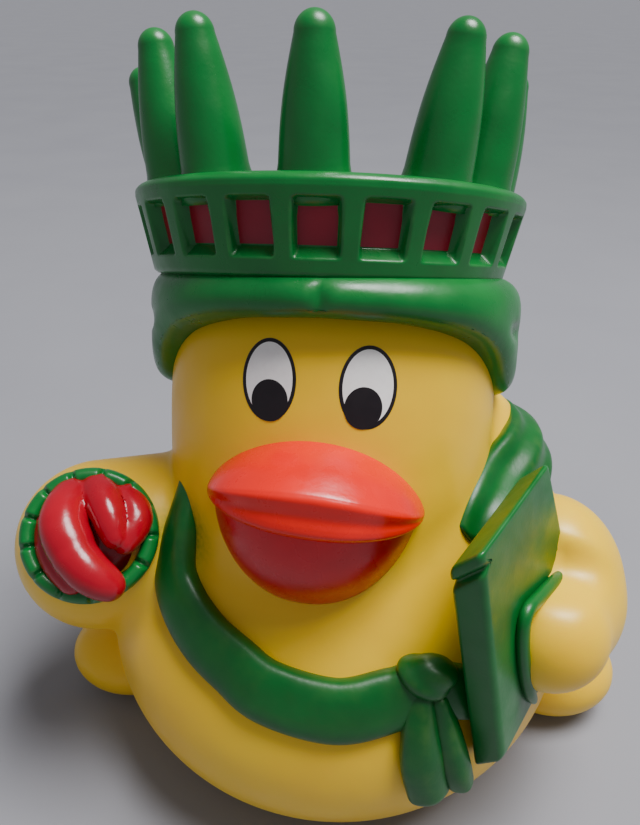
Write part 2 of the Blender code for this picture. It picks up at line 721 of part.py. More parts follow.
def add_drape(shape):
    """Cloth over the shoulder, with folds along its length."""
    add_band(shape, DRAPE_ROUTE, 30, 32, drape_half_width, DRAPE_HALF_THICKNESS,
             (DRAPE_FOLDS, DRAPE_FOLD_RISE), centre=DRAPE_CENTRE)


def cloth(group, material):
    """Sash, knot and drape, melted together as the moulding has them."""
    shape = bmesh.new()
    add_sash(shape)
    add_knot(shape)
    add_drape(shape)
    thing = as_cutter(mesh_object("cloth", shape, group, material))
    soft_mesh(thing, CLOTH_VOXEL, CLOTH_SMOOTH, CLOTH_FACES)
    return thing


def build():
    clear_scene()
    duck_group = new_collection("rubber_duck")
    forms = new_collection("forms_and_cutters")
    yellow = vinyl("yellow_vinyl", (0.85, 0.55, 0.03), 0.35)
    green = vinyl("green_paint", (0.02, 0.20, 0.05), 0.30)
    red = vinyl("bill_paint", (0.72, 0.04, 0.02), 0.28)
    crimson = vinyl("window_paint", (0.25, 0.01, 0.02), 0.30)
    duck = skin(duck_group, yellow)
    cut(duck, cloth(forms, green), "UNION")
    cut(duck, hair(forms, green), "UNION")
    cut(duck, parting(forms, green))
    cut(duck, upper_bill(forms, red), "UNION")
    cut(duck, lower_bill(forms, red), "UNION")
    cut(duck, band(forms, green), "UNION")
    for ray in rays(forms, green):
        cut(duck, ray, "UNION")
    cut(duck, windows(forms, crimson))
    cup = torch_cup(forms, green)
    cut(cup, torch_notches(forms, green))
    cut(duck, cup, "UNION")
    cut(duck, flame(forms, crimson), "UNION")
    cut(duck, tablet(forms, green), "UNION")
    cut(duck, ground(forms, yellow))
    inside = hollow(forms, yellow)
    cut(inside, hollow_floor(forms, yellow))
    cut(duck, inside)
    cut(duck, vent(forms, yellow))


build()
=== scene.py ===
"""Rubber duck with a rayed crown, a torch, a tablet and a knotted sash: the finished toy.

Shapes are worked out in millimetres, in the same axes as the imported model: +Z up, the duck
faces -Y and stands on z = 0. put_mesh turns them into metres. Lengths in materials are metres.
"""
import math

import bmesh
import bpy
import numpy as np
from mathutils import Matrix


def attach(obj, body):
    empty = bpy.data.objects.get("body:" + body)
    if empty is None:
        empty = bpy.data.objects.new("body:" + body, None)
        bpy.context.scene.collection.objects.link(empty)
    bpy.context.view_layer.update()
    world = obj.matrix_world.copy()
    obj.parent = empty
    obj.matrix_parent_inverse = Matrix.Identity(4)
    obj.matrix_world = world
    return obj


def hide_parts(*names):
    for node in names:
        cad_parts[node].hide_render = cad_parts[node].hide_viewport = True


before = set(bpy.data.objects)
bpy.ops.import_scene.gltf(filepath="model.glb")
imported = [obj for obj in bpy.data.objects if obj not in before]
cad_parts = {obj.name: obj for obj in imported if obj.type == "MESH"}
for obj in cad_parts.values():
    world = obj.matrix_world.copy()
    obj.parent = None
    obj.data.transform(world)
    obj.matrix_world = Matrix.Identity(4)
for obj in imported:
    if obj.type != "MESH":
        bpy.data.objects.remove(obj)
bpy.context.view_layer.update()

MM = 0.001
NO_TURN = np.eye(3)

# Head: tilted back, with hair and crown on its axis
HEAD_TILT = 20.6
HEAD_CENTRE = np.array((-1.8, 1.0, 47.0))
HEAD_RADIUS = 22.8
HEAD_HALF_HEIGHT = 25.0
HEAD_SQUARENESS = 3.0
HAIR_RADIUS = 25.4
HAIR_TOP = 22.0
FACE_MIDDLE = -0.7

# Crown: heights are from the top of the band's wall
CROWN_SIDE = -1.2
CROWN_HEIGHT = 30.5
BAND_TOP_RADIUS = 26.0
BAND_BOTTOM_RADIUS = 23.8
BAND_HEIGHT = 8.7
WINDOW_COUNT = 21
WINDOW_HALF_WIDTH = 2.5
WINDOW_TOP = -1.2
WINDOW_SILL = -6.0
WINDOW_BOTTOM = -7.4
WINDOW_DEPTH = 1.8
WINDOW_CORNER = 0.35
WINDOW_EDGE = 0.35
BAND_UNDERSIDE = ((0, -9.7), (22.0, -9.7), (23.2, -9.5), (23.7, -9.1))
BAND_LIP = (
    (26.0, 0), (25.95, 0.75), (25.3, 1.35), (24.3, 1.45), (21.0, 1.35), (12.0, 1.9), (0, 2.2),
)
RAY_CIRCLE = 20.7
RAY_NECK_RADIUS = 3.9
RAY_TIP_RADIUS = 2.15
RAY_TIP_HEIGHT = 2.2
RAY_SWELL = 0.35
RAY_NECK_HEIGHT = 1.8
RAY_FOOT = ((0, -2.0), (4.7, -2.0), (4.8, -0.6), (4.5, 0.2), (4.1, 0.8), (3.9, 1.8))
RAYS = (
    # turn about the crown in degrees, circle of the tips, height of the tips
    (-2, 24.0, 13.8),
    (-36, 24.0, 14.9),
    (38, 24.0, 14.9),
    (-62, 23.6, 15.8),
    (62, 23.6, 15.8),
    (-93, 26.2, 14.8),
    (93, 23.6, 15.0),
)

# Torch: it points up and forward out of the hand, whose middle lies behind its mouth
TORCH_PLACE = np.array((-31.8, -18.9, 41.3))
TORCH_AXIS = np.array((0.18, -0.66, 0.73)) / np.linalg.norm((0.18, -0.66, 0.73))
TORCH_NOTCHES = 13
TORCH_NOTCH_DEPTH = 0.8
RIM_HEIGHT = 0.3
RIM_SPREAD = 1.1
RIM_INNER_RADIUS = 6.0
TORCH_OUTLINE = (
    (0, -8.0), (4.3, -8.0), (5.4, -6.4), (7.6, -3.4), (8.6, -1.8), (8.8, -0.8), (8.6, 0.0),
    (8.0, 0.5), (7.2, 0.4), (6.7, -0.4), (6.4, -2.2), (4.0, -2.8), (0, -2.8),
)
HAND_BEHIND = 13.1
FLAME_VOXEL = 0.3
FLAME_GROOVE = 0.35
FLAME_BASE = (TORCH_PLACE - TORCH_AXIS * 2.5, (6.2, 6.2, 3.0))
FLAME_LOBES = (
    # start, middle, tip in the torch's axes, then radius at the start and at the tip
    ((0.4, 5.6, -1.0), (2.2, 3.0, 1.6), (3.6, -0.6, 2.4), 2.5, 1.5),
    ((4.0, 4.6, -1.0), (5.8, 2.0, 0.4), (4.8, -1.2, 1.4), 2.3, 1.5),
    ((-2.6, 4.6, -0.8), (-3.0, 1.0, 1.6), (-1.0, -3.0, 2.6), 2.7, 2.7),
    ((-1.0, -3.0, 2.6), (1.2, -5.2, 2.7), (3.6, -6.6, 2.2), 2.6, 1.8),
    ((-5.0, 2.0, -1.6), (-4.2, -2.2, -0.6), (-1.4, -5.8, 0.2), 2.0, 1.9),
)

# Tablet: X is its thickness, Y its width from the spine to the back, Z its height
TABLET_PLACE = np.array((21.5, -25.1, 37.2))
TABLET_HALF = np.array((2.1, 9.2, 15.65))
TABLET_FLARE = 8.5
TABLET_END_SLANT = 0.85
TABLET_EDGE = 0.8
TABLET_CORNER = 0.6
SPINE_GROOVE_DEPTH = 0.9
SPINE_GROOVE_BELOW_TOP = 2.3
SPINE_GROOVE_HALF_WIDTH = 0.5
BEAD_ROUTE = (
    (2.3, 15.0, -2.0), (2.7, 9.0, 0.4), (2.8, 2.0, 2.6), (2.8, -1.2, 3.2),
    (2.7, -2.5, 1.0), (2.6, -2.6, -4.0), (2.5, -1.6, -9.0), (2.3, 0.4, -13.5),
)
BEAD_RADIUS = 0.9

# Cloth: its thickness points away from the middle given for it
SASH_ROUTE = np.array((
    (11.8, -30.5, 30.5), (7.8, -31.8, 29.6), (1.1, -33.4, 28.9), (-7.1, -32.0, 29.6),
    (-11.9, -29.2, 30.8), (-15.8, -26.3, 31.7), (-19.0, -22.7, 32.9), (-20.9, -19.5, 34.9),
    (-21.0, -17.0, 38.2), (-20.0, -14.6, 42.0), (-19.3, -10.5, 45.3), (-19.8, -2.0, 47.2),
    (-20.5, 8.0, 46.5), (-13.5, 19.0, 43.0), (-1.0, 24.5, 39.0), (15.0, 25.0, 34.0),
    (26.5, 19.0, 29.0), (33.5, 6.0, 25.0), (32.0, -10.0, 24.5), (26.0, -21.5, 25.0),
    (18.5, -28.5, 28.0),
))
SASH_HALF_WIDTHS = (
    3.4, 3.8, 3.9, 3.9, 3.8, 3.7, 3.6, 3.4, 3.0, 2.3, 1.8,
    2.0, 2.8, 3.4, 3.6, 3.6, 3.6, 3.6, 3.4, 3.2, 3.2,
)
SASH_THICKNESS = 1.9
BODY_MIDDLE = np.array((0.0, -4.0, 14.0))
KNOT_PLACE = np.array((11.6, -30.4, 32.3))
KNOT_HALF = (3.5, 2.7, 2.9)
LEFT_TAIL = np.array((
    (11.0, -30.9, 31.0), (11.2, -33.5, 27.2), (11.9, -35.1, 22.8), (13.2, -36.0, 16.8),
))
LEFT_TAIL_HALF_WIDTHS = (1.8, 2.3, 2.9, 2.7)
RIGHT_TAIL = np.array((
    (12.6, -30.8, 30.8), (14.6, -33.1, 25.6), (15.9, -34.3, 21.2), (16.9, -34.4, 18.0),
))
RIGHT_TAIL_HALF_WIDTHS = (1.3, 1.8, 2.0, 1.7)
TAIL_THICKNESS = 1.7
DRAPE_MIDDLE = np.array((12.0, 3.0, 30.0))
DRAPE_ROUTE = np.array((
    (13.5, 20.5, 39.5), (21.0, 16.5, 42.0), (26.3, 11.0, 43.0), (27.3, 4.0, 44.3),
    (26.0, -1.7, 44.4), (23.2, -6.8, 43.2), (20.7, -12.5, 42.0), (18.7, -16.0, 39.5),
))
DRAPE_HALF_WIDTHS = (3.3, 4.2, 4.6, 4.7, 5.2, 5.8, 5.8, 5.2)
DRAPE_THICKNESS = 2.0


# Directions

def turn_about(axis, degrees):
    """Rotation about one axis, as a 3 by 3 matrix that turns columns."""
    c = math.cos(math.radians(degrees))
    s = math.sin(math.radians(degrees))
    if axis == "X":
        return np.array(((1, 0, 0), (0, c, -s), (0, s, c)))
    if axis == "Y":
        return np.array(((c, 0, s), (0, 1, 0), (-s, 0, c)))
    return np.array(((c, -s, 0), (s, c, 0), (0, 0, 1)))


def facing(direction, sideways):
    """Axes whose Z is the direction and whose X is the sideways vector made square to it."""
    z = direction / np.linalg.norm(direction)
    x = sideways - z * (sideways @ z)
    x = x / np.linalg.norm(x)
    return np.column_stack((x, np.cross(z, x), z))


def own_axes(p, centre, turn):
    """Places in the world, read in a form's own axes."""
    return (p - centre) @ turn


def in_world(local, centre, turn):
    """Points given in a form's own axes, as places in the world."""
    return centre + local.reshape(-1, 3) @ turn.T


HEAD_TURN = turn_about("X", -HEAD_TILT)
CROWN_CENTRE = HEAD_CENTRE + HEAD_TURN @ np.array((CROWN_SIDE, 0, CROWN_HEIGHT))
HAND_PLACE = TORCH_PLACE - TORCH_AXIS * HAND_BEHIND
TORCH_TURN = facing(TORCH_AXIS, np.array((1.0, 0.07, 0.0)))
TABLET_TURN = turn_about("Z", -32) @ turn_about("Y", -12) @ turn_about("X", 2)


# Distances: each function gives how far points lie outside a form, in millimetres

def ball_field(p, centre, half, turn=NO_TURN):
    """Stretched ball: |q/h| (|q/h| - 1) / |q/h2|, close to the true distance near its skin."""
    q = own_axes(p, centre, turn)
    half = np.asarray(half, float)
    near = np.linalg.norm(q / half, axis=1) + 1e-9
    return near * (near - 1) / (np.linalg.norm(q / half ** 2, axis=1) + 1e-9)


def limb_field(p, start, end, start_radius, end_radius):
    """Distance to a line less a radius that runs evenly from one end to the other."""
    run = end - start
    share = np.clip((p - start) @ run / (run @ run), 0, 1)
    away = np.linalg.norm(p - start - share[:, None] * run, axis=1)
    return away - start_radius - (end_radius - start_radius) * share


def turned_field(p, centre, turn, radius, half, power):
    """Turned oval with squared shoulders: the power mean of radius and height, less one."""
    q = own_axes(p, centre, turn)
    across = np.hypot(q[:, 0], q[:, 1]) / radius
    return ((across ** power + np.abs(q[:, 2] / half) ** power) ** (1 / power) - 1) * radius


def join(a, b, fillet):
    """Smaller of two distances, rounded in the corner over the width of the fillet."""
    share = np.clip(0.5 + 0.5 * (b - a) / fillet, 0, 1)
    return b + (a - b) * share - fillet * share * (1 - share)


def keep(a, b, rounding):
    """Larger of two distances, with the edge rounded."""
    return -join(-a, -b, rounding)


def settle(p, field, rounds):
    """Moves points onto the skin where a distance is nil, by Newton's steps along its slope."""
    step = 0.05
    for _ in range(rounds):
        rises = [field(p + step * axis) - field(p - step * axis) for axis in NO_TURN]
        slope = np.stack(rises, axis=1) / (2 * step)
        p = p - (field(p) / np.maximum((slope ** 2).sum(axis=1), 0.2))[:, None] * slope
    return p


def land(p, direction, field, gap):
    """Carries points along a direction until they lie a gap above the skin."""
    for _ in range(40):
        p = p + direction * (field(p) - gap)[:, None]
    return p


# Meshes

def grid_faces(rows, columns, closed_rows=False, closed_columns=True):
    """Four corners of each cell of a grid, joined up where it closes on itself."""
    r, c = np.meshgrid(np.arange(rows if closed_rows else rows - 1),
                       np.arange(columns if closed_columns else columns - 1), indexing="ij")
    after_r = (r + 1) % rows
    after_c = (c + 1) % columns
    return np.stack((r * columns + c, r * columns + after_c, after_r * columns + after_c,
                     after_r * columns + c), axis=-1).reshape(-1, 4)


def gather(parts):
    """Several (points, faces) as one."""
    points = []
    faces = []
    start = 0
    for part_points, part_faces in parts:
        points.append(part_points)
        faces.append(part_faces + start)
        start += len(part_points)
    return np.concatenate(points), np.concatenate(faces)


def put_mesh(name, points, faces):
    """Mesh in metres, with doubled points merged and faces turned outwards."""
    mesh = bpy.data.meshes.new(name)
    mesh.from_pydata((points * MM).tolist(), [], faces.tolist())
    shape = bmesh.new()
    shape.from_mesh(mesh)
    bmesh.ops.remove_doubles(shape, verts=shape.verts, dist=0.002 * MM)
    bmesh.ops.recalc_face_normals(shape, faces=shape.faces)
    shape.to_mesh(mesh)
    shape.free()
    mesh.shade_smooth()
    return mesh


def read_points(mesh):
    """Places of a mesh's points, in millimetres."""
    points = np.empty(len(mesh.vertices) * 3)
    mesh.vertices.foreach_get("co", points)
    return points.reshape(-1, 3) / MM


def put_thing(name, data):
    """New object at the origin, in the scene."""
    thing = bpy.data.objects.new(name, data)
    bpy.context.scene.collection.objects.link(thing)
    return thing


def worked_mesh(thing):
    """Mesh of an object with its modifiers carried out."""
    worked = thing.evaluated_get(bpy.context.evaluated_depsgraph_get())
    return bpy.data.meshes.new_from_object(worked)


def melt(parts, voxel, rounds):
    """One skin round overlapping closed forms: Blender's voxel remesh, then smoothing."""
    thing = put_thing("melt", put_mesh("melt", *gather(parts)))
    remesh = thing.modifiers.new("melt", "REMESH")
    remesh.mode = "VOXEL"
    remesh.voxel_size = voxel * MM
    smooth = thing.modifiers.new("soften", "SMOOTH")
    smooth.iterations = rounds
    result = worked_mesh(thing)
    bpy.data.objects.remove(thing)
    points = read_points(result)
    faces = np.empty(len(result.loops), int)
    result.loops.foreach_get("vertex_index", faces)
    bpy.data.meshes.remove(result)
    return points, faces.reshape(-1, 4)


def add_attribute(mesh, name, values):
    """One number for each point, that a material reads by name."""
    layer = mesh.attributes.new(name, "FLOAT", "POINT")
    layer.data.foreach_set("value", np.asarray(values, np.float32))


def edge_wear(mesh):
    """How sharply each point stands out: height over its neighbours' mean, per squared spacing."""
    points = read_points(mesh)
    ends = np.empty(len(mesh.edges) * 2, int)
    mesh.edges.foreach_get("vertices", ends)
    a, b = ends.reshape(-1, 2).T
    total = np.zeros_like(points)
    spacing = np.zeros(len(points))
    count = np.zeros(len(points))
    gap = points[b] - points[a]
    size = (gap ** 2).sum(axis=1)
    for one, way in ((a, gap), (b, -gap)):
        np.add.at(total, one, way)
        np.add.at(spacing, one, size)
        np.add.at(count, one, 1)
    normals = np.empty(len(points) * 3)
    mesh.vertices.foreach_get("normal", normals)
    height = -(total * normals.reshape(-1, 3)).sum(axis=1)
    return np.clip(height / np.maximum(spacing, 1e-6) * 2, 0, 4)


def bored(mesh, tool):
    """The mesh less a closed tool, by Blender's exact boolean."""
    blank = put_thing("bored", mesh)
    cutter = put_thing("cutter", put_mesh("cutter", *tool))
    step = blank.modifiers.new("bore", "BOOLEAN")
    step.object = cutter
    step.operation = "DIFFERENCE"
    result = worked_mesh(blank)
    bpy.data.objects.remove(blank)
    bpy.data.objects.remove(cutter)
    return result


def piece(name, points, faces, material):
    """A finished piece of the duck from its points and faces."""
    return dress(name, put_mesh(name, points, faces), material)


def dress(name, mesh, material):
    """Material and wear for a mesh, which then rides on the duck's one body."""
    add_attribute(mesh, "edge", edge_wear(mesh))
    mesh.materials.append(material)
    thing = put_thing(name, mesh)
    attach(thing, "root")
    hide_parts("duck")
    return thing


# Surfaces of two parameters

def smooth_line(points, count, closed=False):
    """Catmull-Rom curve through points, read at even shares of the way."""
    points = np.asarray(points, float)
    last = len(points)
    if closed:
        at = np.linspace(0, last, count, endpoint=False)
        step = np.floor(at).astype(int)
        a, b, c, d = (points[(step + k) % last] for k in (-1, 0, 1, 2))
    else:
        at = np.linspace(0, last - 1, count)
        step = np.minimum(np.floor(at).astype(int), last - 2)
        before = 2 * points[0] - points[1]
        after = 2 * points[-1] - points[-2]
        longer = np.concatenate(([before], points, [after]))
        a, b, c, d = (longer[step + k] for k in (0, 1, 2, 3))
    t = (at - step)[:, None]
    square = (2 * a - 5 * b + 4 * c - d) * t ** 2
    cube = (3 * b - a - 3 * c + d) * t ** 3
    return (2 * b + (c - a) * t + square + cube) / 2


def circle(count):
    """Angles round a whole turn, as one row."""
    return np.linspace(0, 2 * np.pi, count, endpoint=False)[None, :]


def power_cos(angle, power):
    """Cosine with its size raised to a power: under 1 it squares an oval's corners."""
    c = np.cos(angle)
    return np.sign(c) * np.abs(c) ** power


def oval(centre, half, turn=NO_TURN, rows=40, columns=60):
    """Ball stretched to three half-sizes: one angle from pole to pole, one round the axis."""
    up = np.linspace(-np.pi / 2, np.pi / 2, rows)[:, None]
    angle = circle(columns)
    local = np.stack((half[0] * np.cos(up) * np.cos(angle), half[1] * np.cos(up) * np.sin(angle),
                      half[2] * np.sin(up) + 0 * angle), axis=-1)
    return in_world(local, centre, turn), grid_faces(rows, columns)


def turned(profile, centre, turn, columns=72):
    """Profile of (radius, height) carried round the axis."""
    profile = np.asarray(profile, float)
    angle = circle(columns)
    radius = profile[:, :1]
    height = profile[:, 1:] + 0 * angle
    local = np.stack((radius * np.cos(angle), radius * np.sin(angle), height), axis=-1)
    return in_world(local, centre, turn), grid_faces(len(profile), columns)


def limb(start, end, start_radius, end_radius):
    """Round limb: half balls joined by a cone."""
    length = np.linalg.norm(end - start)
    angle = np.linspace(0, np.pi / 2, 12)
    foot = np.column_stack((start_radius * np.sin(angle), -start_radius * np.cos(angle)))
    tip = np.column_stack((end_radius * np.cos(angle), length + end_radius * np.sin(angle)))
    way = (end - start) / length
    across = np.cross(way, (0.3, 0.9, 0.31))
    return turned(np.concatenate((foot, tip)), start, facing(way, across), 48)


def band(route, out, half_width, thickness, squareness, folds=0, fold_rise=0.0, closed=False,
         columns=48):
    """Oval section carried along a route: across by the cosine, up by the sine, rippled on top."""
    if closed:
        ahead = np.roll(route, -1, axis=0) - np.roll(route, 1, axis=0)
    else:
        ahead = np.gradient(route, axis=0)
    ahead = ahead / np.linalg.norm(ahead, axis=1)[:, None]
    out = out - ahead * (out * ahead).sum(axis=1)[:, None]
    out = out / np.linalg.norm(out, axis=1)[:, None]
    side = np.cross(ahead, out)
    angle = circle(columns)
    across = power_cos(angle, squareness)
    rise = power_cos(angle - np.pi / 2, squareness)
    width = np.broadcast_to(half_width, len(route))[:, None]
    thick = np.broadcast_to(thickness, len(route))[:, None]
    ripple = fold_rise * np.clip(np.sin(angle), 0, 1) * np.cos(np.pi * across * folds)
    up = thick * (rise + ripple)
    points = route[:, None] + side[:, None] * (width * across)[..., None]
    points = points + out[:, None] * up[..., None]
    return points.reshape(-1, 3), grid_faces(len(route), columns, closed_rows=closed)


def rounded_ends(count, share):
    """Width along an open band: 1, falling to nil as a circle does over a share at each end."""
    at = np.linspace(0, 1, count)
    near = np.clip(np.minimum(at, 1 - at) / share, 0, 1)
    return np.sqrt(np.clip(1 - (1 - near) ** 2, 0, 1))


def from_head(side, forward, up):
    """Grid of points given across, forward and up from the head's middle, in the world."""
    local = np.stack(np.broadcast_arrays(side, -np.asarray(forward), up), axis=-1)
    return HEAD_CENTRE + local @ HEAD_TURN.T


# Colours and materials

def srgb(code):
    """Linear colour from an sRGB hex value."""
    parts = np.array([int(code[k:k + 2], 16) for k in (1, 3, 5)]) / 255
    linear = np.where(parts <= 0.04045, parts / 12.92, ((parts + 0.055) / 1.055) ** 2.4)
    return (*linear.tolist(), 1.0)


def add(tree, kind, inputs, **settings):
    """One node: its own settings, then each input as a value or a link from another node."""
    item = tree.nodes.new(kind)
    for key, value in settings.items():
        setattr(item, key, value)
    for key, value in inputs.items():
        if isinstance(value, bpy.types.NodeSocket):
            tree.links.new(value, item.inputs[key])
        else:
            item.inputs[key].default_value = value
    return item


def new_material(name):
    """Material with its node tree, its shader and the object's own coordinates in metres."""
    material = bpy.data.materials.new(name)
    material.use_nodes = True
    tree = material.node_tree
    shader = tree.nodes["Principled BSDF"]
    place = add(tree, "ShaderNodeTexCoord", {}).outputs["Object"]
    return material, tree, shader, place


def mottle(tree, place, size, low, high, detail=3.0):
    """Soft patches of a size in metres, as a number that runs from low to high."""
    noise = add(tree, "ShaderNodeTexNoise", {"Vector": place, "Scale": 1 / size, "Detail": detail})
    spread = add(tree, "ShaderNodeMapRange", {
        "Value": noise.outputs["Fac"], "From Min": 0.3, "From Max": 0.7,
        "To Min": low, "To Max": high,
    })
    return spread.outputs["Result"]


def tint(tree, share, under, over):
    """Colour that goes from one to another with a share; each is a colour or a link."""
    mix = add(tree, "ShaderNodeMix", {0: share, 6: under, 7: over}, data_type="RGBA")
    return mix.outputs[2]


def orange_peel(tree, place, shader, size, height):
    """Fine unevenness of moulded vinyl and sprayed paint, and wider dents of the soft wall.

    The dents are 6 mm across. Size and height are those of the fine grain, in metres.
    """
    fine = add(tree, "ShaderNodeTexNoise", {"Vector": place, "Scale": 1 / size, "Detail": 2.0})
    wide = add(tree, "ShaderNodeTexNoise", {"Vector": place, "Scale": 1 / 0.006, "Detail": 1.0})
    soft = add(tree, "ShaderNodeBump", {
        "Height": wide.outputs["Fac"], "Strength": 0.35, "Distance": 0.0004,
    })
    bump = add(tree, "ShaderNodeBump", {
        "Height": fine.outputs["Fac"], "Strength": 0.5, "Distance": height,
        "Normal": soft.outputs["Normal"],
    })
    tree.links.new(bump.outputs["Normal"], shader.inputs["Normal"])


def self_coloured_vinyl():
    """Rotation-moulded PVC, coloured right through: waxy, a little translucent, semi-gloss.

    Its tone drifts over 18 mm, where the wall is thicker, and overspray of the green paint lies
    on it in specks of 0.7 mm, drawn coarser than real mist so that they show.
    """
    material, tree, shader, place = new_material("self_coloured_vinyl")
    tone = tint(tree, mottle(tree, place, 0.018, 0.0, 0.55), srgb("#FCCC00"), srgb("#F2BA00"))
    spray = add(tree, "ShaderNodeAttribute", {}, attribute_name="spray").outputs["Fac"]
    specks = mottle(tree, place, 0.0007, 0.55, 1.3)
    speckle = add(tree, "ShaderNodeMath", {0: spray, 1: specks}, operation="MULTIPLY").outputs[0]
    share = add(tree, "ShaderNodeClamp", {"Value": speckle}).outputs[0]
    tone = tint(tree, share, tone, srgb("#3E7A1E"))
    tree.links.new(tone, shader.inputs["Base Color"])
    shader.inputs["Subsurface Weight"].default_value = 0.12
    shader.inputs["Subsurface Radius"].default_value = (1.0, 0.55, 0.08)
    shader.inputs["Subsurface Scale"].default_value = 0.0015
    shader.inputs["IOR"].default_value = 1.53
    tree.links.new(mottle(tree, place, 0.005, 0.32, 0.42), shader.inputs["Roughness"])
    orange_peel(tree, place, shader, 0.0006, 0.00002)
    return material


def sprayed_paint(name, colour, deep, worn, roughness, wear=0.5):
    """Flexible vinyl paint, sprayed through a mask: semi-gloss, deep where thick, rubbed on edges.

    It thickens in clouds of 7 mm and is rubbed through in flecks of 2.2 mm.
    """
    material, tree, shader, place = new_material(name)
    tone = tint(tree, mottle(tree, place, 0.007, 0.0, 1.0), srgb(colour), srgb(deep))
    edge = add(tree, "ShaderNodeAttribute", {}, attribute_name="edge").outputs["Fac"]
    patchy = mottle(tree, place, 0.0022, -0.5, 1.0, 5.0)
    rubbed = edge
    for factor in (patchy, wear):
        rubbed = add(tree, "ShaderNodeMath", {0: rubbed, 1: factor}, operation="MULTIPLY",
                     use_clamp=True).outputs[0]
    tree.links.new(tint(tree, rubbed, tone, srgb(worn)), shader.inputs["Base Color"])
    shader.inputs["IOR"].default_value = 1.5
    gloss = mottle(tree, place, 0.003, roughness - 0.05, roughness + 0.08)
    tree.links.new(gloss, shader.inputs["Roughness"])
    orange_peel(tree, place, shader, 0.0005, 0.00003)
    return material


def pad_print_ink(name, colour, deep):
    """Pad-printed ink: an even, thin, satin film with a faint grain from the plate."""
    material, tree, shader, place = new_material(name)
    tone = tint(tree, mottle(tree, place, 0.0009, 0.0, 0.6, 5.0), srgb(colour), srgb(deep))
    tree.links.new(tone, shader.inputs["Base Color"])
    tree.links.new(mottle(tree, place, 0.002, 0.38, 0.5), shader.inputs["Roughness"])
    orange_peel(tree, place, shader, 0.0006, 0.00002)
    return material


def pale_board():
    """Matt painted board under the duck."""
    material, tree, shader, place = new_material("pale_board")
    tone = tint(tree, mottle(tree, place, 0.05, 0.0, 0.5), srgb("#8E8E94"), srgb("#86868D"))
    tree.links.new(tone, shader.inputs["Base Color"])
    shader.inputs["Roughness"].default_value = 0.7
    return material


# Paints: name, colour, colour where thick, colour where rubbed, roughness, share of wear.
# The greens look satin, darker on the cloth, where the film gathers in the folds. The reds look
# wetter: orange-red on the upper bill, crimson below it, deepest in the crown's windows.
yellow = self_coloured_vinyl()
green = sprayed_paint("green_vinyl_paint", "#08742E", "#066628", "#4C9A50", 0.30, 0.15)
cloth_green = sprayed_paint("cloth_green_paint", "#006020", "#00501A", "#7C9A48", 0.34, 0.3)
tablet_green = sprayed_paint("tablet_green_paint", "#006824", "#005A1E", "#4FA060", 0.33, 0.15)
bill_red = sprayed_paint("bill_red_paint", "#F01404", "#E01000", "#F04020", 0.27, 0.1)
bill_crimson = sprayed_paint("lower_bill_crimson_paint", "#D40018", "#C00014", "#C02030", 0.27, 0.1)
window_crimson = sprayed_paint("window_crimson_paint", "#9A0024", "#860020", "#902030", 0.4, 0.0)
flame_red = sprayed_paint("flame_red_paint", "#B00020", "#9C001C", "#B02028", 0.2, 0.1)
eye_black = pad_print_ink("eye_black_ink", "#170D14", "#0E080C")
eye_white = pad_print_ink("eye_white_ink", "#FFFCF8", "#F4EEEC")


# Yellow skin: a ball is a middle, three half-sizes and a turn, and a limb is two ends and two radii

BELLY = ((-0.3, -1.2, 16.5), (35.3, 36.2, 25.0))
CHEST = ((0.0, 0.5, 33.0), (26.0, 25.0, 22.0))
TAIL_RISE = math.radians(48)
TAIL_TURN = facing(np.array((0.0, math.cos(TAIL_RISE), math.sin(TAIL_RISE))), np.array((1.0, 0, 0)))
TAIL = ((0.0, 33.0, 30.0), (12.6, 10.5, 19.0), TAIL_TURN)
FEET = (((-33.7, -8.0, 6.1), (10.1, 8.2, 6.1)), ((35.2, -6.0, 6.2), (10.2, 8.4, 6.9)))
LEFT_ARM = (np.array((-20.0, -6.0, 32.5)), HAND_PLACE, 11.5, 12.2)
RIGHT_SHOULDER = (np.array((16.5, 6.0, 40.0)), np.array((25.6, -4.0, 32.6)), 11.6, 8.2)
WING = ((29.0, -12.2, 29.8), (10.5, 11.7, 14.2))
WING_TIP = (np.array((31.2, -15.5, 29.6)), np.array((27.2, -22.9, 33.2)), 7.0, 7.4)
HEAD = (HEAD_CENTRE, HEAD_TURN, HEAD_RADIUS, HEAD_HALF_HEIGHT, HEAD_SQUARENESS)
CHEST_FILLET = 7.0
TAIL_FILLET = 6.0
LIMB_FILLET = 3.0
HEAD_FILLET = 1.4
WING_FILLET = 2.0
FOOT_FILLET = 1.6
FLOOR_ROUNDING = 1.0
SKIN_VOXEL = 0.75
BASE_THICKNESS = 2.6
VENT_RADIUS = 1.5
VENT_PLACE = np.array((0.0, 12.0, 0.0))
OVERSPRAY_PLACE = np.array((-20.5, -17.5, 41.0))

# Where the wing's tip ends on the tablet's face: height at the middle, and fall to the back
TIP_LINE_HEIGHT = 4.0
TIP_LINE_MIDDLE = -2.9
TIP_LINE_FALL = 0.29
BACK_MARGIN = 1.8
BACK_ROUNDING = 6.0


def over_tablet(p):
    """Space over the upper part of the tablet's face, which the wing leaves free.

    It is bounded by the face, by a slope that the wing's tip reaches up to, and by the tablet's
    back edge, where it opens outwards so that the wing rounds off instead of ending in a wall.
    """
    q = own_axes(p, TABLET_PLACE, TABLET_TURN)
    above = TIP_LINE_HEIGHT - TIP_LINE_FALL * (q[:, 1] - TIP_LINE_MIDDLE) - q[:, 2]
    foot_share = np.clip(0.5 - q[:, 2] / (2 * TABLET_HALF[2]), 0, 1)
    back_edge = TABLET_HALF[1] + TABLET_FLARE * foot_share
    out = np.clip(q[:, 0] - TABLET_HALF[0], 0, 4)
    before = q[:, 1] - back_edge + BACK_MARGIN - 0.3 * out
    return np.maximum(TABLET_HALF[0] - 0.4 - q[:, 0], keep(above, before, BACK_ROUNDING))


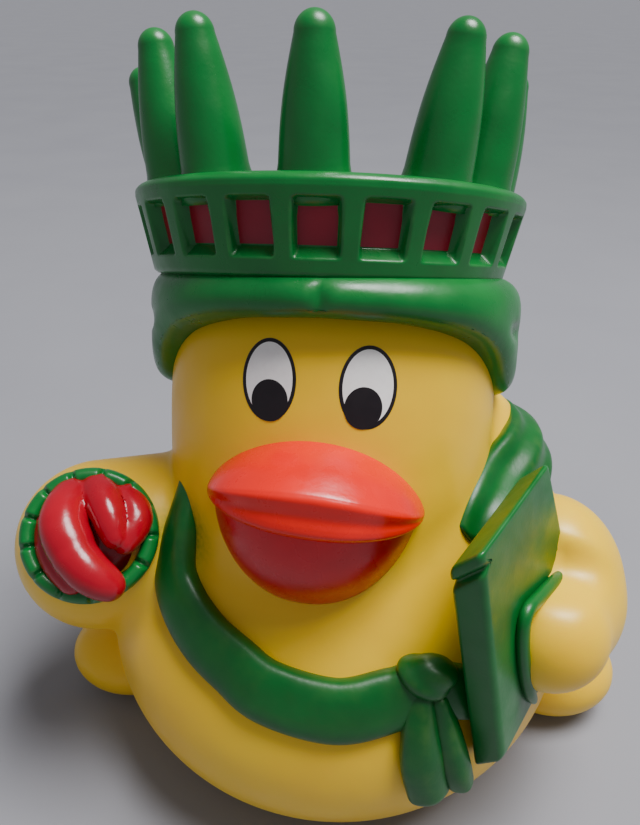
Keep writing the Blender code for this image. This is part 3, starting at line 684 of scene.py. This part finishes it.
def body_field(p):
    """Belly, chest and tail with soft fillets, limbs and head with tighter ones, level below."""
    d = join(ball_field(p, *BELLY), ball_field(p, *CHEST), CHEST_FILLET)
    d = join(d, ball_field(p, *TAIL), TAIL_FILLET)
    d = join(d, limb_field(p, *LEFT_ARM), LIMB_FILLET)
    d = join(d, limb_field(p, *RIGHT_SHOULDER), LIMB_FILLET)
    d = join(d, turned_field(p, *HEAD), HEAD_FILLET)
    wing = join(ball_field(p, *WING), limb_field(p, *WING_TIP), LIMB_FILLET)
    d = join(d, keep(wing, -over_tablet(p), WING_FILLET), WING_FILLET)
    for foot in FEET:
        d = join(d, ball_field(p, *foot), FOOT_FILLET)
    return keep(d, -p[:, 2], FLOOR_ROUNDING)


def head_form():
    """Squarish turned oval, from pole to pole."""
    up = np.linspace(-np.pi / 2, np.pi / 2, 40)
    power = 2 / HEAD_SQUARENESS
    radius = HEAD_RADIUS * power_cos(up, power)
    height = HEAD_HALF_HEIGHT * power_cos(up - np.pi / 2, power)
    return turned(np.column_stack((radius, height)), HEAD_CENTRE, HEAD_TURN)


def skin():
    """The forms melted together, every point brought onto the filleted skin, and the vent bored.

    Overspray by the strap falls off as the square of a share that is nil 7 mm away.
    """
    forms = [oval(*form) for form in (BELLY, CHEST, TAIL, *FEET, WING)]
    forms += [limb(*form) for form in (LEFT_ARM, RIGHT_SHOULDER, WING_TIP)]
    points, faces = melt([*forms, head_form()], SKIN_VOXEL, 4)
    points[:, 2] = np.maximum(points[:, 2], -0.4)
    points = settle(points, body_field, 6)
    bore = ((0, -1.0), (VENT_RADIUS, -1.0), (VENT_RADIUS, BASE_THICKNESS), (0, BASE_THICKNESS))
    vent = turned(bore, VENT_PLACE, NO_TURN, 48)
    thing = dress("duck_skin", bored(put_mesh("duck_skin", points, faces), vent), yellow)
    near = np.linalg.norm(read_points(thing.data) - OVERSPRAY_PLACE, axis=1)
    add_attribute(thing.data, "spray", np.clip(1.2 - near / 6, 0, 1) ** 2)


skin()


# Hair

HAIR_EDGE_TURNS = (0, 25, 45, 58, 66, 74, 82, 95, 120, 150, 180)
HAIR_EDGE_HEIGHTS = (16.8, 16.4, 15.0, 13.0, 10.5, 7.5, 5.5, 5.0, 2.0, -6.0, -12.0)
HAIR_PROFILE = (
    (0, -19), (14, -18), (21, -13), (25, -5), (25.4, 4), (25.4, 16), (23, 21), (18, 22), (0, 22),
)
HAIR_BACK_HALF = (27.5, 27.5, 21.0)
HAIR_TOP_ROUNDING = 5.0
HAIR_BACK_ROUNDING = 3.0
HAIR_EDGE_ROLL = 3.5
HAIR_VOXEL = 0.6
PARTING_RADIUS = 0.85
TEMPLE_TURN = 72
TEMPLE_HEIGHT = 15.0


def face_turn(q):
    """Turn from the front of the face, in degrees to either side."""
    return np.degrees(np.arctan2(np.abs(q[:, 0] - FACE_MIDDLE), -q[:, 1]))


def hair_edge(turn):
    """Height of the hair's lower edge on the head: straight runs, averaged over 14 degrees."""
    steps = (-7, -3.5, 0, 3.5, 7)
    return sum(np.interp(turn + step, HAIR_EDGE_TURNS, HAIR_EDGE_HEIGHTS) for step in steps) / 5


def hair_field(p):
    """Upright round hood, closed under the back, that ends forward in a rolled edge over the face.

    A parting is cut down the front, and a shallow crease lies over each temple.
    """
    q = own_axes(p, HEAD_CENTRE, HEAD_TURN)
    out = np.hypot(q[:, 0], q[:, 1]) - HAIR_RADIUS
    d = keep(out, q[:, 2] - HAIR_TOP, HAIR_TOP_ROUNDING)
    low = np.column_stack((q[:, 0], q[:, 1], np.minimum(q[:, 2] - 2, 0)))
    d = keep(d, ball_field(low, np.zeros(3), HAIR_BACK_HALF), HAIR_BACK_ROUNDING)
    turn = face_turn(q)
    per_degree = math.radians(HAIR_RADIUS)
    slope = (hair_edge(turn + 2) - hair_edge(turn - 2)) / (4 * per_degree)
    d = keep(d, (hair_edge(turn) - q[:, 2]) / np.sqrt(1 + slope ** 2), HAIR_EDGE_ROLL)
    parting = np.hypot(q[:, 0] - FACE_MIDDLE, (q[:, 1] + HAIR_RADIUS + 0.1) * 0.7) - PARTING_RADIUS
    past = turn - TEMPLE_TURN
    crease = np.hypot(past * per_degree * 0.35, q[:, 2] - TEMPLE_HEIGHT + 0.05 * past)
    return keep(keep(d, -parting, 0.5), 1.0 - np.hypot(crease * 0.8, out - 0.3), 0.6)


def hair():
    """Turned cap, melted fine and brought onto the hood's skin."""
    points, faces = melt([turned(HAIR_PROFILE, HEAD_CENTRE, HEAD_TURN, 96)], HAIR_VOXEL, 6)
    q = own_axes(points, HEAD_CENTRE, HEAD_TURN)
    q[:, 2] = np.maximum(q[:, 2], hair_edge(face_turn(q)))
    points = in_world(q, HEAD_CENTRE, HEAD_TURN)
    piece("hair_hood", settle(points, hair_field, 8), faces, green)


hair()


# Crown

def wall_radius(height):
    """Radius of the flared band's wall at a height under its top."""
    return BAND_TOP_RADIUS + (BAND_TOP_RADIUS - BAND_BOTTOM_RADIUS) * height / BAND_HEIGHT


def window_distance(along, height):
    """Distance from a window's rounded outline, along the wall."""
    middle = (WINDOW_TOP + WINDOW_BOTTOM) / 2
    x = np.abs(along) - WINDOW_HALF_WIDTH + WINDOW_CORNER
    y = np.abs(height - middle) - (WINDOW_TOP - WINDOW_BOTTOM) / 2 + WINDOW_CORNER
    outside = np.hypot(np.maximum(x, 0), np.maximum(y, 0))
    return outside + np.minimum(np.maximum(x, y), 0) - WINDOW_CORNER


def crown_band():
    """Band: radius by turn and height, a flared wall less a sunk place at each window.

    It is closed by a lip and a low dome. A window's side walls follow 3d^2 - 2d^3.
    """
    wall = np.linspace(-BAND_HEIGHT, 0, 56)
    lip = smooth_line(BAND_LIP, 40)[1:]
    profile = np.concatenate((BAND_UNDERSIDE, np.column_stack((wall_radius(wall), wall)), lip))
    turn = circle(WINDOW_COUNT * 32)
    pitch = 2 * np.pi / WINDOW_COUNT
    along = ((turn + pitch / 2) % pitch - pitch / 2) * profile[:, :1]
    depth = np.clip(-window_distance(along, profile[:, 1:]) / WINDOW_EDGE + 0.5, 0, 1)
    sill = np.clip((profile[:, 1:] - WINDOW_BOTTOM) / (WINDOW_SILL - WINDOW_BOTTOM), 0, 1)
    radius = profile[:, :1] - WINDOW_DEPTH * depth ** 2 * (3 - 2 * depth) * sill
    height = profile[:, 1:] + 0 * turn
    local = np.stack((radius * np.sin(turn), -radius * np.cos(turn), height), axis=-1)
    points = in_world(local, CROWN_CENTRE, HEAD_TURN)
    piece("crown_band", points, grid_faces(len(profile), turn.size), green)


def crown_windows():
    """Crimson films on the windows' floors: squarish tiles, x by the cosine and z by the sine."""
    tiles = []
    rows = 8
    columns = 64
    margin = 0.1
    film = 0.06
    squareness = 0.12
    share = np.linspace(0, 1, rows)[:, None]
    angle = circle(columns)
    x = (WINDOW_HALF_WIDTH - margin) * share * power_cos(angle, squareness)
    half_height = (WINDOW_TOP - WINDOW_SILL) / 2 - margin
    middle = (WINDOW_TOP + WINDOW_SILL) / 2
    height = middle + half_height * share * power_cos(angle - np.pi / 2, squareness)
    radius = wall_radius(height) - WINDOW_DEPTH + film
    for number in range(WINDOW_COUNT):
        turn = 2 * np.pi * number / WINDOW_COUNT + x / radius
        local = np.stack((radius * np.sin(turn), -radius * np.cos(turn), height), axis=-1)
        tiles.append((in_world(local, CROWN_CENTRE, HEAD_TURN), grid_faces(rows, columns)))
    piece("crown_windows", *gather(tiles), window_crimson)


def crown_rays():
    """Blunt rays: a fillet at the foot, a swelling taper and a round tip, leaning outwards."""
    for number, (degrees, tip_circle, tip_height) in enumerate(RAYS):
        lean = tip_circle - RAY_CIRCLE
        length = math.hypot(lean, tip_height)
        angle = np.radians(np.linspace(0, 90, 16))
        rise = length + RAY_TIP_HEIGHT * np.sin(angle)
        tip = np.column_stack((RAY_TIP_RADIUS * np.cos(angle), rise))
        share = np.linspace(0, 1, 14)[1:-1]
        taper = (RAY_NECK_RADIUS - RAY_TIP_RADIUS) * share
        radius = RAY_NECK_RADIUS - taper + RAY_SWELL * np.sin(math.pi * share)
        middle = np.column_stack((radius, RAY_NECK_HEIGHT + (length - RAY_NECK_HEIGHT) * share))
        around = HEAD_TURN @ turn_about("Z", degrees)
        seat = CROWN_CENTRE + around @ np.array((0, -RAY_CIRCLE, 1.0))
        turn = around @ turn_about("X", math.degrees(math.atan2(lean, tip_height)))
        profile = np.concatenate((RAY_FOOT[:2], smooth_line(RAY_FOOT[2:], 12), middle, tip))
        piece(f"crown_ray_{number + 1}", *turned(profile, seat, turn, 64), green)


crown_band()
crown_windows()
crown_rays()


# Bill

MOUTH_HEIGHT = -5.3
BILL_ROLL = math.radians(5.0)
UPPER_BILL_SECTION = (
    (0.0, 1.03), (0.37, 0.98), (0.70, 0.80), (0.93, 0.58), (0.985, 0.50), (1.0, 0.43),
    (0.985, 0.34), (0.955, 0.20), (0.965, 0.06), (0.955, -0.04), (0.90, -0.11), (0.80, -0.13),
    (0.0, -0.13),
)
UPPER_BILL_ROOT = 17.8
UPPER_BILL_REACH = 13.2
UPPER_BILL_HALF_WIDTH = 13.3
LOWER_BILL_ROOT = 17.0
LOWER_BILL_REACH = 11.3
LOWER_BILL_HALF_WIDTH = 12.7
LOWER_BILL_DEPTH = 13.6


def in_bill(side, forward, up):
    """Points of the bill, rolled about its middle so that its left corner sits higher."""
    c = math.cos(BILL_ROLL)
    s = math.sin(BILL_ROLL)
    level = FACE_MIDDLE + side * c + up * s
    return from_head(level, forward, MOUTH_HEIGHT + up * c - side * s).reshape(-1, 3)


def upper_bill():
    """Broad upper bill: across by X, and round a section with a crease, a hollow and a rolled lip.

    The section's reach shrinks as (1 - |X|^2.3)^0.5. Its rise is 6.9 (1 - X^2)^0.9 with
    1.4 (1 - X^6)^0.5 added, which leaves the corners blunt.
    """
    rows = 110
    back = (UPPER_BILL_SECTION[-1], UPPER_BILL_SECTION[0])
    line = np.concatenate((smooth_line(UPPER_BILL_SECTION, 120), smooth_line(back, 12)[1:-1]))
    across = np.sin(np.linspace(-np.pi / 2, np.pi / 2, rows)[:, None])
    reach = UPPER_BILL_REACH * np.clip(1 - np.abs(across) ** 2.3, 0, 1) ** 0.5
    rise = 6.9 * np.clip(1 - across ** 2, 0, 1) ** 0.9
    rise = rise + 1.4 * np.clip(1 - across ** 6, 0, 1) ** 0.5
    forward = UPPER_BILL_ROOT + reach * line[:, 0]
    up = rise * line[:, 1]
    points = in_bill(UPPER_BILL_HALF_WIDTH * across + 0 * up, forward, up)
    piece("upper_bill", points, grid_faces(rows, len(line)), bill_red)


def lower_bill():
    """Bowl of the lower bill: a ball with its pole forward, squared across and flat on top."""
    rows = 70
    columns = 96
    flatness = 0.14
    pole = np.linspace(-np.pi / 2, np.pi / 2, rows)[:, None]
    turn = circle(columns)
    side = LOWER_BILL_HALF_WIDTH * np.cos(pole) * power_cos(turn, 0.92)
    up = LOWER_BILL_DEPTH * np.cos(pole) * power_cos(turn - np.pi / 2, 1.15)
    up = up * np.where(up > 0, flatness, 1.0)
    forward = LOWER_BILL_ROOT + LOWER_BILL_REACH * np.sin(pole) + 0 * turn
    piece("lower_bill", in_bill(side, forward, up), grid_faces(rows, columns), bill_crimson)


upper_bill()
lower_bill()


# Eyes

EYES = (
    # name, place across and up on the face, half width, place of the pupil across in the eye
    ("left", -6.35, 9.5, 3.2, 0.15),
    ("right", 5.0, 9.13, 3.3, -0.45),
)
EYE_HALF_HEIGHT = 4.72
EYE_OUTLINE_WIDTH = 0.42
WHITE_HALF_HEIGHT = 4.25
PUPIL_DROP = 2.3
PUPIL_HALF = (2.17, 2.42)
BEFORE_FACE = 30.0
INK_LIFT = 0.03
INK_LAYER = 0.02


def eye_film(name, side, up, half, layer, material):
    """Oval film, x by the cosine and z by the sine, laid on the face over the films before it."""
    rows = 14
    columns = 72
    share = np.linspace(0, 1, rows)[:, None]
    angle = circle(columns)
    x = side + half[0] * share * np.cos(angle)
    z = up + half[1] * share * np.sin(angle)
    start = from_head(x, BEFORE_FACE, z).reshape(-1, 3)
    inward = HEAD_TURN @ np.array((0, 1.0, 0))
    points = land(start, inward, body_field, INK_LIFT + layer * INK_LAYER)
    piece(name, points, grid_faces(rows, columns), material)


for label, side, up, half, pupil_side in EYES:
    white_half = (half - EYE_OUTLINE_WIDTH, WHITE_HALF_HEIGHT)
    eye_film(f"eye_{label}_outline", side, up, (half, EYE_HALF_HEIGHT), 0, eye_black)
    eye_film(f"eye_{label}_white", side, up + 0.05, white_half, 1, eye_white)
    eye_film(f"eye_{label}_pupil", side + pupil_side, up - PUPIL_DROP, PUPIL_HALF, 2, eye_black)


# Torch and flame

def torch_cup():
    """Turned cup whose rolled rim is nicked at even turns, by the sixth power of a cosine."""
    profile = smooth_line(TORCH_OUTLINE, 110)
    turn = circle(TORCH_NOTCHES * 22)
    nick = TORCH_NOTCH_DEPTH * np.clip(np.cos(turn * TORCH_NOTCHES), 0, 1) ** 6
    on_rim = np.exp(-((profile[:, 1:] - RIM_HEIGHT) / RIM_SPREAD) ** 2)
    on_rim = on_rim * np.clip((profile[:, :1] - RIM_INNER_RADIUS) / 0.8, 0, 1)
    radius = profile[:, :1] + 0.0 * turn
    height = profile[:, 1:] - nick * on_rim
    local = np.stack((radius * np.cos(turn), radius * np.sin(turn), height), axis=-1)
    points = in_world(local, TORCH_PLACE, TORCH_TURN)
    piece("torch_cup", points, grid_faces(len(profile), turn.size), green)


def flame_lobes():
    """Each lobe as six short limbs along its bent route."""
    lobes = []
    for start, middle, tip, foot_radius, tip_radius in FLAME_LOBES:
        route = in_world(smooth_line((start, middle, tip), 7), TORCH_PLACE, TORCH_TURN)
        radii = np.linspace(foot_radius, tip_radius, 7)
        lobes.append(list(zip(route[:-1], route[1:], radii[:-1], radii[1:])))
    return lobes


def flame_field(p):
    """Bent lobes, each smooth along its length, with tight grooves where two lobes meet."""
    whole = None
    for limbs in flame_lobes():
        lobe = limb_field(p, *limbs[0])
        for values in limbs[1:]:
            lobe = join(lobe, limb_field(p, *values), 1.0)
        whole = lobe if whole is None else join(whole, lobe, FLAME_GROOVE)
    return join(whole, ball_field(p, *FLAME_BASE, TORCH_TURN), 1.0)


def flame():
    """Lobes melted together, then brought onto their joined skin."""
    forms = [limb(*values) for limbs in flame_lobes() for values in limbs]
    forms.append(oval(*FLAME_BASE, TORCH_TURN))
    points, faces = melt(forms, FLAME_VOXEL, 3)
    piece("flame", settle(points, flame_field, 4), faces, flame_red)


torch_cup()
flame()


# Tablet

def tablet():
    """Slab: a rectangle with rounded corners, carried from one face to the other.

    A quarter circle draws it in at each edge. It widens towards its foot, its ends slant with the
    thickness, and a groove like a bell curve crosses the spine under the top.
    """
    x_half, y_half, z_half = TABLET_HALF
    columns = 480
    around = np.linspace(0, 4, columns, endpoint=False)
    side = np.interp(around, range(5), (-1, 1, 1, -1, -1))
    rise = np.interp(around, range(5), (-1, -1, 1, 1, -1))
    turn = np.radians(np.linspace(0, 90, 10))
    rim = TABLET_EDGE * (1 - np.sin(turn))
    step = TABLET_EDGE * (1 - np.cos(turn))
    grow = np.linspace(0, 1, 20)[:-1]
    face = np.ones(grow.size)
    shrink = np.concatenate((grow, np.ones(20), np.linspace(1, 0, 20)[1:]))[:, None]
    inset = np.concatenate((TABLET_EDGE * face, rim, rim[::-1], TABLET_EDGE * face))[:, None]
    depth = np.concatenate((-x_half * face, step - x_half, (x_half - step)[::-1], x_half * face))
    depth = depth[:, None]
    y = (y_half - inset) * side
    z = (z_half - inset) * rise
    inner_y = np.clip(y, TABLET_CORNER - y_half + inset, y_half - inset - TABLET_CORNER)
    inner_z = np.clip(z, TABLET_CORNER - z_half + inset, z_half - inset - TABLET_CORNER)
    off = np.hypot(y - inner_y, z - inner_z) + 1e-9
    y = (inner_y + (y - inner_y) * TABLET_CORNER / np.maximum(off, TABLET_CORNER)) * shrink
    z = (inner_z + (z - inner_z) * TABLET_CORNER / np.maximum(off, TABLET_CORNER)) * shrink
    on_spine = np.clip((-y - y_half + 3.0) / 2.0, 0, 1)
    off_groove = (z - z_half + SPINE_GROOVE_BELOW_TOP) / SPINE_GROOVE_HALF_WIDTH
    y = y + SPINE_GROOVE_DEPTH * np.exp(-off_groove ** 2) * on_spine
    foot_share = np.clip(0.5 - z / (2 * z_half), 0, 1)
    y = y + TABLET_FLARE * np.clip(y / y_half + 1, 0, 2) / 2 * foot_share
    local = np.stack((depth + 0 * y, y, z + TABLET_END_SLANT * depth), axis=-1)
    points = in_world(local, TABLET_PLACE, TABLET_TURN)
    piece("tablet", points, grid_faces(len(depth), columns), tablet_green)


def tablet_bead():
    """Raised bead where the wing's tip meets the tablet: a round section along the contact."""
    rows = 140
    route = in_world(smooth_line(BEAD_ROUTE, rows), TABLET_PLACE, TABLET_TURN)
    out = np.broadcast_to(TABLET_TURN[:, 0], route.shape)
    width = BEAD_RADIUS * rounded_ends(rows, 0.15)
    piece("tablet_bead", *band(route, out, width, width * 0.9, 1.0, columns=32), tablet_green)


tablet()
tablet_bead()


# Cloth

def even_out(values, rounds):
    """Each value of a closed row drawn towards the mean of its neighbours, again and again."""
    for _ in range(rounds):
        mean = (np.roll(values, 1, axis=0) + np.roll(values, -1, axis=0)) / 2
        values = (values + mean) / 2
    return values


def smooth_widths(widths, count, closed=False):
    """Half-widths given at a route's points, read along its whole length."""
    return smooth_line(np.array(widths)[:, None], count, closed)[:, 0]


def sash():
    """Padded band round the body: an oval section on a closed route."""
    count = 260
    route = smooth_line(SASH_ROUTE, count, closed=True)
    out = even_out(route - BODY_MIDDLE, 10)
    width = smooth_widths(SASH_HALF_WIDTHS, count, closed=True)
    piece("sash", *band(route, out, width, SASH_THICKNESS, 0.75, closed=True), cloth_green)


def knot():
    """Knot: a squat ball, narrower below, with creases that run slantwise round it."""
    points, faces = oval(np.zeros(3), KNOT_HALF, NO_TURN, 70, 120)
    points[:, 0] *= 1 + 0.09 * points[:, 2]
    slant = points[:, 0] * 0.55 + points[:, 2]
    points = points * (1 + 0.045 * np.cos(slant * 2.1))[:, None]
    piece("knot", KNOT_PLACE + points, faces, cloth_green)


def sash_tail(name, route, widths):
    """Tail that widens from the knot to a blunt end, with one soft fold down its middle."""
    count = 70
    line = smooth_line(route, count)
    ends = rounded_ends(count, 0.08)
    width = smooth_widths(widths, count) * ends
    form = band(line, line - BODY_MIDDLE, width, TAIL_THICKNESS * ends, 0.85, 1, 0.12)
    piece(name, *form, cloth_green)


def drape():
    """Cloth over the shoulder, with folds along its length."""
    count = 120
    line = smooth_line(DRAPE_ROUTE, count)
    ends = rounded_ends(count, 0.04)
    width = smooth_widths(DRAPE_HALF_WIDTHS, count) * ends
    thickness = DRAPE_THICKNESS * ends
    form = band(line, line - DRAPE_MIDDLE, width, thickness, 0.85, 2, 0.22, columns=96)
    piece("drape", *form, cloth_green)


sash()
knot()
sash_tail("sash_tail_left", LEFT_TAIL, LEFT_TAIL_HALF_WIDTHS)
sash_tail("sash_tail_right", RIGHT_TAIL, RIGHT_TAIL_HALF_WIDTHS)
drape()


# Room, light and camera

def board():
    """Pale board that the duck stands on, and that closes the view behind it: 24 m each way."""
    count = 9
    line = np.linspace(-12000.0, 12000.0, count)
    side, back = np.meshgrid(line, line, indexing="ij")
    points = np.stack((side, back, 0 * side), axis=-1).reshape(-1, 3)
    mesh = bpy.data.meshes.new("board")
    faces = grid_faces(count, count, closed_columns=False)
    mesh.from_pydata((points * MM).tolist(), [], faces.tolist())
    mesh.materials.append(pale_board())
    put_thing("board", mesh)


def soft_light(name, place, aim, size, watts):
    """Square soft box that looks at a point; sizes and places in metres."""
    light = bpy.data.lights.new(name, "AREA")
    light.shape = "SQUARE"
    light.size = size
    light.energy = watts
    turn = facing(np.array(place) - np.array(aim), np.array((1.0, 0.1, 0.0)))
    set_place(put_thing(name, light), turn, place)


def sky_light(name, place, angle, strength):
    """Even light from one side of the sky, with soft shadows from its wide angle in degrees."""
    light = bpy.data.lights.new(name, "SUN")
    light.angle = math.radians(angle)
    light.energy = strength
    turn = facing(np.array(place), np.array((1.0, 0.1, 0.0)))
    set_place(put_thing(name, light), turn, place)


def set_place(thing, turn, place):
    """Turns a light or the camera and puts it at a place in metres."""
    matrix = np.eye(4)
    matrix[:3, :3] = turn
    matrix[:3, 3] = place
    thing.matrix_world = Matrix(matrix.tolist())


def room():
    """Board, even pale surroundings, a broad soft key from above and a small soft box overhead."""
    board()
    world = bpy.data.worlds.new("studio")
    world.use_nodes = True
    surroundings = world.node_tree.nodes["Background"]
    surroundings.inputs["Color"].default_value = srgb("#E4E6EE")
    surroundings.inputs["Strength"].default_value = 0.36
    bpy.context.scene.world = world
    sky_light("key", (0.35, 0.05, 0.9), 30.0, 3.1)
    soft_light("overhead", (0.10, 0.02, 0.40), (0.0, 0.0, 0.04), 0.16, 1.2)


FRAME_HEIGHT = 825
FOCAL_PIXELS = 700
SENSOR = 36.0
CAMERA_PLACE = (0.0025774, -0.084903, 0.1027057)


def camera():
    """Close view from above: turned 4 degrees, looking down 32, rolled half a degree."""
    turn = math.radians(4.0)
    down = math.radians(32.0)
    roll = math.radians(0.5)
    level_ahead = np.array((-math.sin(turn), math.cos(turn), 0.0))
    ahead = level_ahead * math.cos(down) - np.array((0.0, 0.0, math.sin(down)))
    level = np.array((math.cos(turn), math.sin(turn), 0.0))
    up = np.cross(level, ahead)
    right = level * math.cos(roll) + up * math.sin(roll)
    up = up * math.cos(roll) - level * math.sin(roll)
    eye = bpy.data.cameras.new("camera")
    eye.sensor_width = SENSOR
    eye.lens = FOCAL_PIXELS / FRAME_HEIGHT * SENSOR
    eye.clip_start = 0.005
    thing = put_thing("camera", eye)
    set_place(thing, np.column_stack((right, up, -ahead)), CAMERA_PLACE)
    bpy.context.scene.camera = thing


room()
camera()
